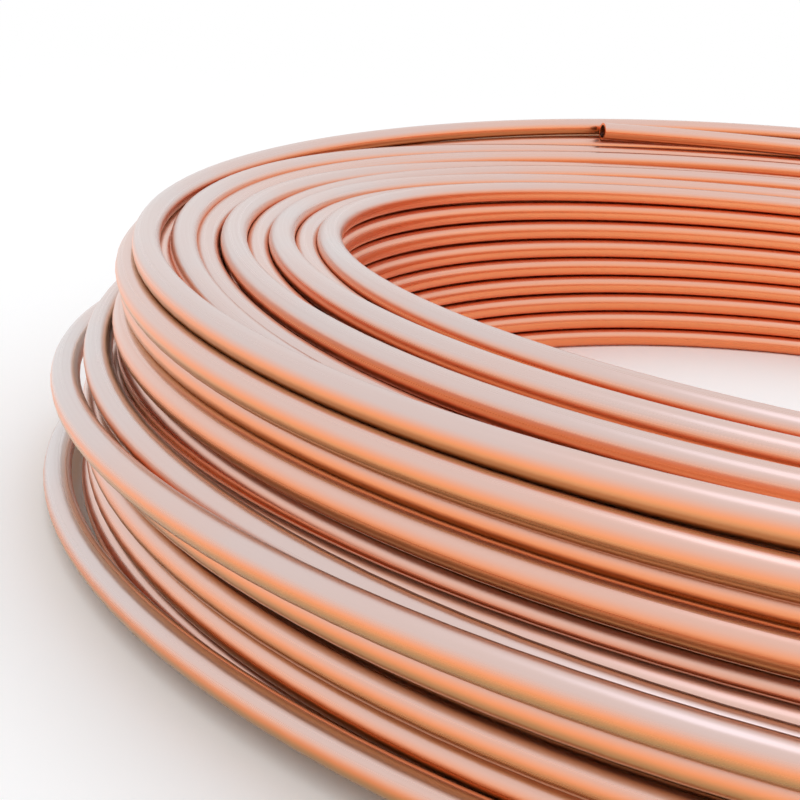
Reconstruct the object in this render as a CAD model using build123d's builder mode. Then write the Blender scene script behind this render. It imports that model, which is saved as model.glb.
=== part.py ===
import os
from math import cos, hypot, radians, sin

from build123d import *

os.makedirs("parts", exist_ok=True)

# Soft copper tube
tube_diameter = 6.35
tube_wall = 0.8

# Coil: the eye is the clear width between the innermost turns, neighbouring turns lie a little apart,
# and the top falls a little towards the outside
eye_diameter = 296.0
turn_slack = 0.1
wall_rows = 9
top_columns = 8
bottom_columns = 11
top_fall = 3.0

# Crown: the upper turns lie tilted on the level ones, and are highest on the side at this angle
crown_angle = 53.0
crown_tilt = 3.7
crown_rows = 4
crown_inset = 1.6
crown_outer_rise = 9.0
crown_inner_drop = 8.0
crown_depth = 24.0

# Free end of the tube: half a turn that climbs out of the pile into a groove of the crown's top,
# then a short bend that lifts the straight cut end clear of the turns
end_angle = 97.0
end_sink = 11.0
end_bedding = 0.2
end_bend_radius = 70.0
end_rise_angle = 16.0
end_straight_length = 20.0

tube_radius = tube_diameter / 2
tube_bore_radius = tube_radius - tube_wall
turn_pitch = tube_diameter + turn_slack

# Centres of the corner turns of the level part, as radius and height
inner_radius = eye_diameter / 2 + tube_radius
top_height = tube_radius + (wall_rows - 1) * turn_pitch
inner_bottom = (inner_radius, tube_radius)
outer_bottom = (inner_radius + (bottom_columns - 1) * turn_pitch, tube_radius)
outer_top = (inner_radius + (top_columns - 1) * turn_pitch, top_height - top_fall)
inner_top = (inner_radius, top_height)
level_corners = [inner_bottom, outer_bottom, outer_top, inner_top]

# Corners of the crown, measured along and across its own tilted axis; its foot is hidden in the level part
crown_outer_top = (outer_top[0] - crown_inset, top_height + crown_outer_rise)
crown_outer_bottom = (crown_outer_top[0], crown_outer_top[1] - (crown_rows - 1) * turn_pitch)
crown_inner_top = (inner_radius + crown_inset, top_height - crown_inner_drop)
crown_foot = (crown_inner_top[0] + turn_pitch, crown_outer_top[1] - crown_depth)
crown_corners = [crown_foot, crown_outer_bottom, crown_outer_top, crown_inner_top]


def side_turns(start, end, turns):
    # Turn centres along one side of a section, evenly spread from its first corner up to the next one
    run = end[0] - start[0]
    rise = end[1] - start[1]
    shares = [turn / (turns - 1) for turn in range(turns - 1)]
    return [(start[0] + run * share, start[1] + rise * share) for share in shares]


bottom_turns = side_turns(inner_bottom, outer_bottom, bottom_columns)
outer_turns = side_turns(outer_bottom, outer_top, wall_rows)
top_turns = side_turns(outer_top, inner_top, top_columns)
inner_turns = side_turns(inner_top, inner_bottom, wall_rows)
level_turns = bottom_turns + outer_turns + top_turns + inner_turns
crown_wall_turns = side_turns(crown_outer_bottom, crown_outer_top, crown_rows)
crown_top_turns = side_turns(crown_outer_top, crown_inner_top, top_columns)

# Directions of the crown: up along its axis, out to its highest side, and level along the side after that
tilt = radians(crown_tilt)
bearing = Vector(cos(radians(crown_angle)), sin(radians(crown_angle)), 0)
crown_up = Vector(0, 0, cos(tilt)) - bearing * sin(tilt)
crown_out = Vector(0, 0, sin(tilt)) + bearing * cos(tilt)
crown_along = crown_up.cross(crown_out)
crown_plane = Plane(origin=(0, 0, 0), x_dir=crown_out, z_dir=crown_out.cross(crown_up))

# The free end lies in the groove inside the crown's second turn
outer_turn, next_turn = crown_top_turns[1:3]
groove_run = outer_turn[0] - next_turn[0]
groove_rise = outer_turn[1] - next_turn[1]
groove_width = hypot(groove_run, groove_rise)
end_lift = (tube_diameter**2 - (groove_width / 2) ** 2) ** 0.5 - end_bedding
end_radius = (outer_turn[0] + next_turn[0]) / 2 - end_lift * groove_rise / groove_width
end_height = (outer_turn[1] + next_turn[1]) / 2 + end_lift * groove_run / groove_width

# The climbing half turn lies in a plane that is tilted so that its hidden end sinks into the pile
end_turn = radians(end_angle - crown_angle)
outward = crown_out * cos(end_turn) + crown_along * sin(end_turn)
forward = crown_along * cos(end_turn) - crown_out * sin(end_turn)
lift_point = outward * end_radius + crown_up * end_height
climb_centre = crown_up * (end_height - end_sink / 2)
climb_arm = lift_point - climb_centre
climb_plane = Plane(origin=climb_centre, x_dir=climb_arm, z_dir=climb_arm.cross(forward))

# The bend and the straight cut end lie in a plane along the turn's tangent and the crown's axis
lift_angle = radians(end_rise_angle)
rise_plane = Plane(origin=lift_point, x_dir=forward, z_dir=forward.cross(crown_up))
bend_end = (end_bend_radius * sin(lift_angle), end_bend_radius * (1 - cos(lift_angle)))
straight = (end_straight_length * cos(lift_angle), end_straight_length * sin(lift_angle))
cut_end = (bend_end[0] + straight[0], bend_end[1] + straight[1])
mouth_direction = forward * cos(lift_angle) + crown_up * sin(lift_angle)
mouth = lift_point + forward * cut_end[0] + crown_up * cut_end[1]
mouth_plane = Plane(origin=mouth, z_dir=mouth_direction)

with BuildPart() as coil:
    # Level turned body whose rim shows every outside turn
    with BuildSketch(Plane.XZ):
        with BuildLine():
            Polyline(*level_corners, close=True)
        make_face()
        with Locations(*level_turns):
            Circle(tube_radius)
    revolve(axis=Axis.Z)

    # Tilted crown, turned about its own axis
    with BuildSketch(crown_plane):
        with BuildLine():
            Polyline(*crown_corners, close=True)
        make_face()
        with Locations(*crown_wall_turns, *crown_top_turns):
            Circle(tube_radius)
    revolve(axis=Axis((0, 0, 0), crown_up))

    # Half turn that climbs out of the pile
    with BuildLine(climb_plane):
        CenterArc((0, 0), climb_arm.length, -180, 180)
    with BuildSketch(Plane(origin=lift_point, z_dir=forward)):
        Circle(tube_radius)
    sweep()

    # Bend and straight cut end
    with BuildLine(rise_plane):
        CenterArc((0, end_bend_radius), end_bend_radius, -90, end_rise_angle)
        Line(bend_end, cut_end)
    with BuildSketch(Plane(origin=lift_point, z_dir=forward)):
        Circle(tube_radius)
    sweep()

    # Open mouth of the tube, bored along the straight stretch
    with BuildSketch(mouth_plane):
        Circle(tube_bore_radius)
    extrude(amount=-end_straight_length, mode=Mode.SUBTRACT)

coil.part.label = "copper_tube_coil"
export_step(coil.part, "parts/copper_tube_coil.step")
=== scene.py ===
from math import cos, pi, radians

import bpy
import numpy as np
from mathutils import Matrix, Vector


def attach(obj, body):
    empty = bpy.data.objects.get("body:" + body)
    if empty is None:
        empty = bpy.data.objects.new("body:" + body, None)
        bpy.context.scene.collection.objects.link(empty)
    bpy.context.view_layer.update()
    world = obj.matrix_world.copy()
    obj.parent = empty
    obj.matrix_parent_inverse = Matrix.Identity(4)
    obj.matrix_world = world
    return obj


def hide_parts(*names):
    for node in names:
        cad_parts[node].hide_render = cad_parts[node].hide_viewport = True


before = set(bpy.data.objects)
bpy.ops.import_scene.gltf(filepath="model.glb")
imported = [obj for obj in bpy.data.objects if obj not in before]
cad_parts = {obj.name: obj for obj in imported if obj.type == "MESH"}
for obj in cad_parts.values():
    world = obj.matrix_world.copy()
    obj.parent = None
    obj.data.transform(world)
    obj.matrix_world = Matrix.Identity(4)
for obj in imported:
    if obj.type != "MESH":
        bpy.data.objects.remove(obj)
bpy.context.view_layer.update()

print("frame loaded")

# places in the winding are (radius, height) in tube diameters, and become metres at the end
tube = {
    "diameter": 0.00635,
    "wallShare": 0.126,       # of the diameter
    "boreDepth": 3.1,         # in tube diameters
    "sides": 16,
    "stationsPerTurn": 48,    # control points in one turn
    "stepsPerStation": 3,
    "crispAngle": 35,         # sharper edges stay crisp, as on the rim of a cut end
}

# compass places where a turn's section is set, in degrees
compass = (95, 180, 230, 330)

pile = {
    "columnTurns": 9,         # turns in each upright column of the pile
    "floorHeight": 0.5,       # middle of a turn that lies on the floor
    "crossStart": 255,        # where a turn starts to move over to the next one's place
    "crossSpan": 170,
    "seed": 11,
    "looseness": 0.05,
    "visibleGive": 0.12,      # how far a listed turn gives way, against 1 for a hidden one
    "firstAngle": 30,         # the tube's hidden start, low on the eye's wall
    "lastAngle": 109.5,       # the cut end on top
}

# turns that lie in each other push apart, round by round
settling = {
    "rounds": 90,
    "push": 0.45,             # share of an overlap that is mended in a round
    "stiffness": 0.2,         # pull towards both neighbours along the tube
    "recall": 0.02,           # pull back to the planned place
    "strongestRecall": 0.2,
    "farOff": 9,              # keeps a turn from pushing itself
}

# how open a turn lies to the light overhead; the painted highlight follows it, and a covered turn gets
# painted shade instead
lightOpening = {
    "coverLow": 0.3,          # how far above a turn another one covers it
    "coverHigh": 2.2,
    "coverReach": 1.3,
    "outerFrom": 26,          # from this radius on, turns lie open at the side too
    "outerSpan": 5,
    "sideLight": 0.5,
    "highlightSideShare": 0.75,       # how far the painted highlight thins out on one side of the coil
    "highlightSideAngle": 10,
}

# tops of the columns from the eye outwards
columnTops = [
    ((23.80, 8.62), (23.80, 9.03), (23.80, 8.80), (23.80, 8.10)),
    ((24.70, 8.50), (24.70, 8.75), (24.70, 8.05), (24.70, 8.10)),
    ((25.60, 8.85), (25.65, 9.10), (25.60, 8.65), (25.60, 8.50)),
    ((26.50, 9.40), (26.55, 8.80), (26.50, 7.75), (26.50, 8.60)),
    ((27.40, 9.40), (27.45, 9.20), (27.40, 8.40), (27.40, 9.10)),
    ((28.30, 10.1), (28.60, 9.00), (28.30, 7.60), (28.30, 9.20)),
    ((29.10, 10.3), (29.30, 9.25), (29.20, 7.70), (29.20, 9.50)),
    ((30.05, 10.9), (29.95, 8.75), (30.05, 8.05), (30.20, 9.80)),
]

# low turns hidden behind the outer wall, then the outer wall in the order in which it is wound
hiddenFill = [
    ((31.30, 0.50), (31.30, 0.50), (31.40, 0.50), (31.30, 0.50)),
    ((31.20, 1.60), (31.20, 1.50), (31.50, 1.50), (31.30, 1.50)),
    ((31.10, 2.70), (31.00, 2.50), (31.60, 2.60), (31.30, 2.60)),
    ((31.00, 3.80), (31.00, 3.50), (31.70, 3.70), (31.30, 3.70)),
]
outerWall = [
    ((32.20, 4.00), (32.00, 3.70), (32.90, 4.00), (32.60, 3.90)),
    ((32.00, 3.00), (32.00, 2.70), (32.60, 2.70), (32.50, 2.80)),
    ((32.10, 2.00), (31.95, 1.75), (32.50, 1.70), (32.40, 1.80)),
    ((32.20, 1.00), (32.15, 0.90), (32.40, 0.75), (32.30, 0.80)),
    ((33.20, 0.70), (33.65, 0.75), (33.40, 1.15), (33.30, 0.75)),   # lowest loose loop
    ((32.70, 4.60), (33.10, 4.65), (34.00, 5.25), (33.60, 4.60)),   # upper loose loop
    ((31.80, 8.15), (31.90, 6.00), (33.10, 5.15), (32.80, 5.60)),   # sinks from behind to the front
    ((31.60, 5.30), (31.20, 4.70), (32.20, 5.00), (31.90, 4.90)),
    ((31.30, 6.30), (31.10, 5.40), (31.30, 5.25), (31.40, 5.80)),
    ((31.40, 7.20), (31.10, 6.75), (31.70, 6.40), (31.60, 6.80)),
    ((31.00, 8.40), (31.05, 7.60), (31.00, 7.00), (31.40, 7.70)),
    ((31.60, 11.2), (31.10, 8.55), (31.50, 7.90), (31.60, 8.80)),
    ((30.72, 11.98), (30.54, 9.39), (30.93, 8.70), (31.40, 10.4)),  # crown, the outermost top turn
]
cutEnd = ((29.42, 11.45), (30.30, 11.6), (30.93, 10.4), (29.20, 10.4))


def easeInOut(share):
    return share**2 * (3 - 2 * share)


def roundTheCoil(places, angles):
    # smooth closed run through the four compass places, read at the given angles
    keys = np.array(compass, float)
    wide = np.concatenate([keys - 360, keys, keys + 360])
    values = np.array(list(places) * 3, float)
    slopes = np.gradient(values, wide, axis=0)
    at = np.clip(np.searchsorted(wide, angles, side="right") - 1, 0, len(wide) - 2)
    gap = (wide[at + 1] - wide[at])[:, None]
    t = ((angles - wide[at])[:, None]) / gap
    low, high = values[at], values[at + 1]
    return (low * (2 * t**3 - 3 * t**2 + 1) + high * (3 * t**2 - 2 * t**3)
            + gap * (slopes[at] * (t**3 - 2 * t**2 + t) + slopes[at + 1] * (t**3 - t**2)))


def windingOrder(angles):
    # every turn's closed run, in the order in which the tube is wound, and how freely it gives way
    runs, gives = [], []
    rows = pile["columnTurns"]
    for number, top in enumerate(columnTops):
        crest = roundTheCoil(top, angles)
        order = range(rows) if number % 2 == 0 else reversed(range(rows))
        for row in order:
            run = crest.copy()
            run[:, 1] = pile["floorHeight"] + (crest[:, 1] - pile["floorHeight"]) * row / (rows - 1)
            runs.append(run)
            gives.append(pile["visibleGive"] if row == rows - 1 or number == 0 else 1.0)
    for places in hiddenFill:
        runs.append(roundTheCoil(places, angles))
        gives.append(1.0)
    for places in outerWall + [cutEnd]:
        runs.append(roundTheCoil(places, angles))
        gives.append(pile["visibleGive"])
    return np.array(runs), np.array(gives)


def crossOver(runs, angles):
    # each turn moves over to the next one's place on one side of the coil
    wound = runs.copy()
    for station, angle in enumerate(angles):
        ahead = (angle - pile["crossStart"]) / pile["crossSpan"]
        behind = (angle + 360 - pile["crossStart"]) / pile["crossSpan"]
        if ahead > 0:
            wound[:-1, station] += easeInOut(ahead) * (runs[1:, station] - runs[:-1, station])
        elif behind < 1:
            wound[1:, station] += (1 - easeInOut(behind)) * (runs[:-1, station] - runs[1:, station])
    return wound


def betweenTurns(wound):
    # steps and distances from every turn to every other one, station by station
    apart = wound[:, None] - wound[None, :]
    itself = np.eye(len(wound))[:, :, None] * settling["farOff"]
    return apart, np.sqrt((apart**2).sum(3)) + itself


def settle(wound, gives):
    # turns push apart, stay smooth along the tube and keep near their planned places
    target = wound.copy()
    weight = gives[:, None] / (gives[:, None] + gives[None, :])
    recall = (settling["recall"] / gives)[:, None, None].clip(0, settling["strongestRecall"])
    for step in range(settling["rounds"]):
        apart, distance = betweenTurns(wound)
        push = np.clip(1.0 - distance, 0, None)
        wound += settling["push"] * (apart * (push / distance * weight[:, :, None])[..., None]).sum(1)
        line = wound.reshape(-1, 2)
        line[1:-1] += settling["stiffness"] * (line[:-2] + line[2:] - 2 * line[1:-1])
        wound = line.reshape(wound.shape)
        wound += (target - wound) * recall
        wound[:, :, 1] = np.maximum(wound[:, :, 1], pile["floorHeight"])
    return wound


def openTurns(wound, apart, angles):
    # a turn lies open where no other one rests on it; the outer wall is open from the side too. This
    # share sets the painted highlight, so a covered turn gets painted shade
    over = (apart[..., 1] < -lightOpening["coverLow"]) & (apart[..., 1] > -lightOpening["coverHigh"])
    cover = np.clip(lightOpening["coverReach"] - np.abs(apart[..., 0]) * lightOpening["coverReach"], 0, 1) * over
    cover[:, -1, angles > pile["lastAngle"]] = 0    # the last turn stops at the cut end
    outside = np.clip((wound[..., 0] - lightOpening["outerFrom"]) / lightOpening["outerSpan"], 0, 1)
    bare = 1 - np.clip(cover.sum(1), 0, 1) * (1 - lightOpening["sideLight"] * outside)
    # the painted highlight thins out on one side of the coil, around this angle
    highlightSideFade = np.abs(np.cos(np.radians(angles - lightOpening["highlightSideAngle"]) / 2))
    return bare * (1 - lightOpening["highlightSideShare"] * highlightSideFade)


def windTube():
    stations = tube["stationsPerTurn"]
    angles = np.arange(stations) * 360.0 / stations
    runs, gives = windingOrder(angles)
    wound = crossOver(runs, angles)
    # hand-made unevenness, mostly of hidden turns
    draw = np.random.default_rng(pile["seed"])
    waves = draw.normal(0, pile["looseness"], (len(runs), 2, 2))
    swing = np.stack([np.cos(np.radians(angles)), np.sin(np.radians(angles))])
    wound += np.einsum("kcw,ws->ksc", waves, swing) * gives[:, None, None]
    wound = settle(wound, gives)
    apart, distance = betweenTurns(wound)
    print("turns", len(runs), "tightest", round(float(distance.min()), 3))
    return wound.reshape(-1, 2), openTurns(wound, apart, angles).reshape(-1)


def tubePoints():
    line, bare = windTube()
    perTurn = tube["stationsPerTurn"]
    # both ends are cut at their own angles, which lie between stations
    start = pile["firstAngle"] / 360 * perTurn
    finish = len(line) - perTurn + pile["lastAngle"] / 360 * perTurn
    stops = np.concatenate([[start], np.arange(int(start) + 1, int(finish) + 1), [finish]])
    steps = np.arange(len(line))
    line = np.column_stack([np.interp(stops, steps, column) for column in line.T])
    bare = np.interp(stops, steps, bare)
    angles = np.radians(stops * 360 / perTurn)
    # a spline runs inside its points, so the points stand out by as much
    radius = line[:, 0] / cos(pi / perTurn)**2
    points = np.stack([radius * np.cos(angles), radius * np.sin(angles), line[:, 1]], 1)
    return points * tube["diameter"], bare


def fillRing(piece, ring):
    # closes one end of a tube, and leaves the new face selected
    bpy.ops.object.mode_set(mode="EDIT")
    bpy.ops.mesh.select_mode(type="VERT")
    bpy.ops.mesh.select_all(action="DESELECT")
    bpy.ops.object.mode_set(mode="OBJECT")
    for number in ring:
        piece.data.vertices[number].select = True
    bpy.ops.object.mode_set(mode="EDIT")
    bpy.ops.mesh.edge_face_add()
    bpy.ops.object.mode_set(mode="OBJECT")


def tubePiece(name, points, bare, hasMouth):
    curve = bpy.data.curves.new(name, "CURVE")
    curve.dimensions = "3D"
    curve.twist_mode = "Z_UP"
    spline = curve.splines.new("NURBS")
    spline.points.add(len(points) - 1)
    spline.points.foreach_set("co", np.column_stack([points, np.ones(len(points))]).ravel())
    spline.order_u = 3
    spline.use_endpoint_u = True
    spline.resolution_u = tube["stepsPerStation"]
    curve.bevel_depth = tube["diameter"] / 2
    curve.bevel_resolution = tube["sides"] // 2 - 2
    piece = bpy.data.objects.new(name, curve)
    bpy.context.collection.objects.link(piece)
    bpy.ops.object.select_all(action="DESELECT")
    piece.select_set(True)
    bpy.context.view_layer.objects.active = piece
    bpy.ops.object.convert(target="MESH")
    # how open each ring lies, for the painted highlight and the painted shade of covered turns
    count = len(piece.data.vertices)
    rings = np.arange(count) // tube["sides"] / (count // tube["sides"] - 1) * (len(points) - 1)
    openness = piece.data.attributes.new("openness", "FLOAT", "POINT")
    openness.data.foreach_set("value", np.interp(rings, np.arange(len(points)), bare))
    fillRing(piece, range(tube["sides"]))
    fillRing(piece, range(count - tube["sides"], count))
    if hasMouth:
        # the cut end's cap is inset by the wall, then pushed down the tube
        along = Vector(points[-2] - points[-1]).normalized()
        bpy.ops.object.mode_set(mode="EDIT")
        bpy.ops.mesh.inset(thickness=tube["wallShare"] * tube["diameter"])
        bpy.ops.mesh.extrude_region_move(
            TRANSFORM_OT_translate={"value": along * tube["boreDepth"] * tube["diameter"]})
        bpy.ops.object.mode_set(mode="OBJECT")
    bpy.ops.object.mode_set(mode="EDIT")
    bpy.ops.mesh.select_all(action="SELECT")
    bpy.ops.mesh.normals_make_consistent(inside=False)
    bpy.ops.object.mode_set(mode="OBJECT")
    bpy.ops.object.shade_smooth_by_angle(angle=radians(tube["crispAngle"]))
    print(name, len(piece.data.polygons), "faces", [layer.name for layer in piece.data.uv_layers])
    return piece


# one run of tube in three pieces, each with its number of turns; the last one stops at the cut end
pieceTurns = {"eye_turns": 36, "core_turns": 36, "outer_turns": 18}

points, bare = tubePoints()
pieces = []
low = 0
for name, turns in pieceTurns.items():
    high = min(len(points), low + turns * tube["stationsPerTurn"])
    stretch, openStretch = points[low:high], bare[low:high]
    # pieces meet halfway between two points, where the spline touches the line between them
    if low > 0:
        stretch = np.vstack([(points[low - 1] + points[low]) / 2, stretch])
        openStretch = np.append(bare[low - 1], openStretch)
    if high < len(points):
        stretch = np.vstack([stretch, (points[high - 1] + points[high]) / 2])
        openStretch = np.append(openStretch, bare[high])
    pieces.append(tubePiece(name, stretch, openStretch, high == len(points)))
    low = high

# bright drawn copper, with a painted highlight on its upper side (the pale reflection of the light
# overhead) and drawing marks along the tube
metal = {
    "bright": (0.97, 0.36, 0.15, 1),
    "tarnish": (0.92, 0.30, 0.11, 1),
    "patchScale": 22.0, "patchDetail": 3.0,
    # pale colour of the painted highlight, the reflection of white light overhead
    "paintedHighlight": (0.645, 0.585, 0.58, 1),
    "highlightFrom": -0.04, "highlightTo": 0.66,       # how far a side faces up, from -1 to 1
    "highlightShare": (0.40, 1.0),                # on a covered turn, and on an open one
    "highlightThin": 0.90,                        # where the patches are weakest
    "thinFrom": 0.35, "thinTo": 0.6,
    # brown painted shade on the undersides of the outer turns
    "underShadeColour": (0.56, 0.30, 0.12, 1),
    "underFrom": 0.15, "underTo": -0.45,     # facing, as for the painted highlight
    "outerFrom": 0.180, "outerTo": 0.195,    # radius in metres from which the undersides get painted shade
    "markLength": 60.0, "markWidth": 26.0, "markDetail": 4.0,
    "markFrom": 0.3, "markTo": 0.7,
    "roughness": (0.24, 0.38),
    "coat": 0.25, "coatRoughness": 0.25,
}
copper = bpy.data.materials.new("drawn_copper")
copper.use_nodes = True
nodes, links = copper.node_tree.nodes, copper.node_tree.links
shader = nodes["Principled BSDF"]


def addNode(kind, values=None, **settings):
    node = nodes.new(kind)
    for key, value in settings.items():
        setattr(node, key, value)
    for key, value in (values or {}).items():
        node.inputs[key].default_value = value
    return node


def mapRange(value, start, stop, low=0.0, high=1.0, blend="LINEAR"):
    limits = {"From Min": start, "From Max": stop, "To Min": low, "To Max": high}
    node = addNode("ShaderNodeMapRange", limits, interpolation_type=blend)
    links.new(value, node.inputs["Value"])
    return node.outputs["Result"]


def multiply(first, second):
    node = addNode("ShaderNodeMath", operation="MULTIPLY")
    links.new(first, node.inputs[0])
    links.new(second, node.inputs[1])
    return node.outputs["Value"]


def mixColours(share, first, second):
    # inputs 6 and 7 and output 2 are the mix node's colours; the first one may be a link
    node = addNode("ShaderNodeMix", {7: second}, data_type="RGBA")
    links.new(share, node.inputs["Factor"])
    if isinstance(first, tuple):
        node.inputs[6].default_value = first
    else:
        links.new(first, node.inputs[6])
    return node.outputs[2]


where = addNode("ShaderNodeTexCoord")
patches = addNode("ShaderNodeTexNoise", {"Scale": metal["patchScale"], "Detail": metal["patchDetail"]})
links.new(where.outputs["Object"], patches.inputs["Vector"])

# painted highlight: the pale reflection of the light overhead lies on sides that face up, and is
# stronger where a turn lies open; on a covered turn it is weaker, which paints shade there
facing = addNode("ShaderNodeSeparateXYZ")
links.new(where.outputs["Normal"], facing.inputs["Vector"])
upper = mapRange(facing.outputs["Z"], metal["highlightFrom"], metal["highlightTo"], blend="SMOOTHSTEP")
lying = addNode("ShaderNodeAttribute", attribute_name="openness")
laid = mapRange(lying.outputs["Fac"], 0.0, 1.0, *metal["highlightShare"])
uneven = mapRange(patches.outputs["Fac"], metal["thinFrom"], metal["thinTo"], metal["highlightThin"])
paintedHighlight = multiply(upper, multiply(uneven, laid))

# painted shade: the undersides of the outer turns are browner where they face down
below = mapRange(facing.outputs["Z"], metal["underFrom"], metal["underTo"], blend="SMOOTHSTEP")
level = addNode("ShaderNodeVectorMath", {1: (1, 1, 0)}, operation="MULTIPLY")
links.new(where.outputs["Object"], level.inputs[0])
reach = addNode("ShaderNodeVectorMath", operation="LENGTH")
links.new(level.outputs["Vector"], reach.inputs[0])
underShadeMask = multiply(below, mapRange(reach.outputs["Value"], metal["outerFrom"], metal["outerTo"]))

ground = mixColours(patches.outputs["Fac"], metal["bright"], metal["tarnish"])
withUnderShade = mixColours(underShadeMask, ground, metal["underShadeColour"])
# the painted highlight goes over the copper and its painted shade underneath
links.new(mixColours(paintedHighlight, withUnderShade, metal["paintedHighlight"]), shader.inputs["Base Color"])

# drawing marks follow the tube, so they come from its own UV map
drawn = addNode("ShaderNodeMapping", {"Scale": (metal["markLength"], metal["markWidth"], 1)})
links.new(where.outputs["UV"], drawn.inputs["Vector"])
marks = addNode("ShaderNodeTexNoise", {"Scale": 1.0, "Detail": metal["markDetail"]})
links.new(drawn.outputs["Vector"], marks.inputs["Vector"])
gloss = mapRange(marks.outputs["Fac"], metal["markFrom"], metal["markTo"], *metal["roughness"])
links.new(gloss, shader.inputs["Roughness"])
shader.inputs["Metallic"].default_value = 1
shader.inputs["Coat Weight"].default_value = metal["coat"]
shader.inputs["Coat Roughness"].default_value = metal["coatRoughness"]
for piece in pieces:
    piece.data.materials.clear()
    piece.data.materials.append(copper)
    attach(piece, "root")
    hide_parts("copper_tube_coil")
print("copper on", len(pieces), "pieces")

# pale matt floor
floorSet = {"size": 8, "colour": (1, 1, 1, 1), "roughness": 1, "specular": 0}
bpy.ops.object.select_all(action="DESELECT")
bpy.ops.mesh.primitive_plane_add(size=floorSet["size"])
floor = bpy.context.object
floor.name = "floor"
pale = bpy.data.materials.new("pale_floor")
pale.use_nodes = True
paleInputs = pale.node_tree.nodes["Principled BSDF"].inputs
paleInputs["Base Color"].default_value = floorSet["colour"]
paleInputs["Roughness"].default_value = floorSet["roughness"]
paleInputs["Specular IOR Level"].default_value = floorSet["specular"]
floor.data.materials.append(pale)

# white surroundings and one small cool lamp
roomSet = {"colour": (1, 1, 1, 1), "strength": 1.0}
world = bpy.data.worlds.new("studio")
bpy.context.scene.world = world
world.use_nodes = True
worldInputs = world.node_tree.nodes["Background"].inputs
worldInputs["Color"].default_value = roomSet["colour"]
worldInputs["Strength"].default_value = roomSet["strength"]

lampSet = {"place": (-0.12, -0.17, 0.75), "size": 0.35, "power": 0.42, "colour": (0.62, 0.78, 1.0)}
lamp = bpy.data.objects.new("soft_lamp", bpy.data.lights.new("soft_lamp", "AREA"))
bpy.context.collection.objects.link(lamp)
lamp.location = lampSet["place"]
lamp.data.size = lampSet["size"]
lamp.data.energy = lampSet["power"]
lamp.data.color = lampSet["colour"]
print("floor and light set")

# camera, placed in tube diameters and turned in degrees
view = {
    "place": (-20.50, -54.77, 18.55),
    "pitch": 16.59,
    "roll": 4.90,
    "lens": 61.7,
    "sensor": 36,
    "clipStart": 0.01,
}
camera = bpy.data.objects.new("camera", bpy.data.cameras.new("camera"))
bpy.context.collection.objects.link(camera)
camera.data.lens = view["lens"]
camera.data.sensor_width = view["sensor"]
camera.data.clip_start = view["clipStart"]
camera.matrix_world = (Matrix.Translation(Vector(view["place"]) * tube["diameter"])
                       @ Matrix.Rotation(radians(90 - view["pitch"]), 4, "X")
                       @ Matrix.Rotation(radians(view["roll"]), 4, "Z"))
bpy.context.scene.camera = camera
bpy.context.scene.view_settings.view_transform = "Standard"
print("camera set")

bpy.context.view_layer.update()
